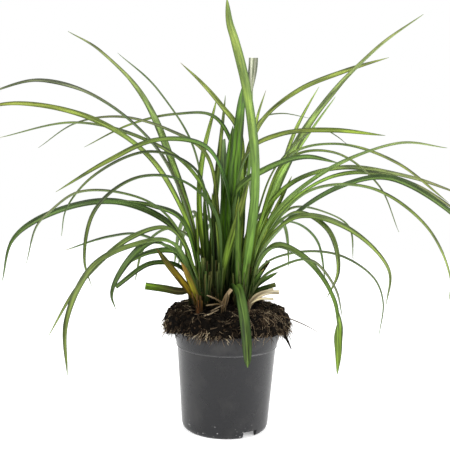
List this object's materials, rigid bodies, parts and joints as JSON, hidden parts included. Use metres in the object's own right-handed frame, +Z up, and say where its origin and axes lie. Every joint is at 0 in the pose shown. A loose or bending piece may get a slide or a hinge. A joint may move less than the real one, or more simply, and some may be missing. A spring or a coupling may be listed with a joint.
{
  "type": "potted carex sedge",
  "caption": "Tussock of long arching grass-like sedge leaves growing from a crumbly root ball in a small round nursery pot; stands on its own.",
  "frame": {"origin": "centre of the pot's underside, on the surface it stands on", "axes": "+Z up along the pot's axis, +X to the plant's right as seen from its front, -Y towards its front"},
  "size_m": [0.5128, 0.3641, 0.4191],
  "materials": {
    "pot_plastic": "thin injection-moulded polypropylene, charcoal grey, satin with dusty scuffs",
    "peat_soil": "loose dark brown peat with fibres and fine roots, fully rough",
    "green_leaf": "ribbed leaf blade, satin, mid green with a paler keel",
    "golden_leaf": "withering leaf blade, golden brown, dull",
    "dry_leaf": "dead dry leaf base, straw coloured, dull"
  },
  "bodies": {
    "root": {"pot": "pot_plastic", "soil": "peat_soil", "left_upper": "green_leaf", "left_low": "green_leaf", "left_front": "green_leaf", "left_back": "green_leaf", "inner_left": "green_leaf", "inner_front": "green_leaf", "centre": "green_leaf", "centre_back": "green_leaf", "right_front": "green_leaf", "right_mid": "green_leaf", "right_upper": "green_leaf", "right_low": "green_leaf", "right_edge": "green_leaf", "back": "green_leaf", "back_right": "green_leaf", "golden_leaves": "golden_leaf", "straw_front": "dry_leaf", "straw_right": "dry_leaf"}
  },
  "joints": []
}
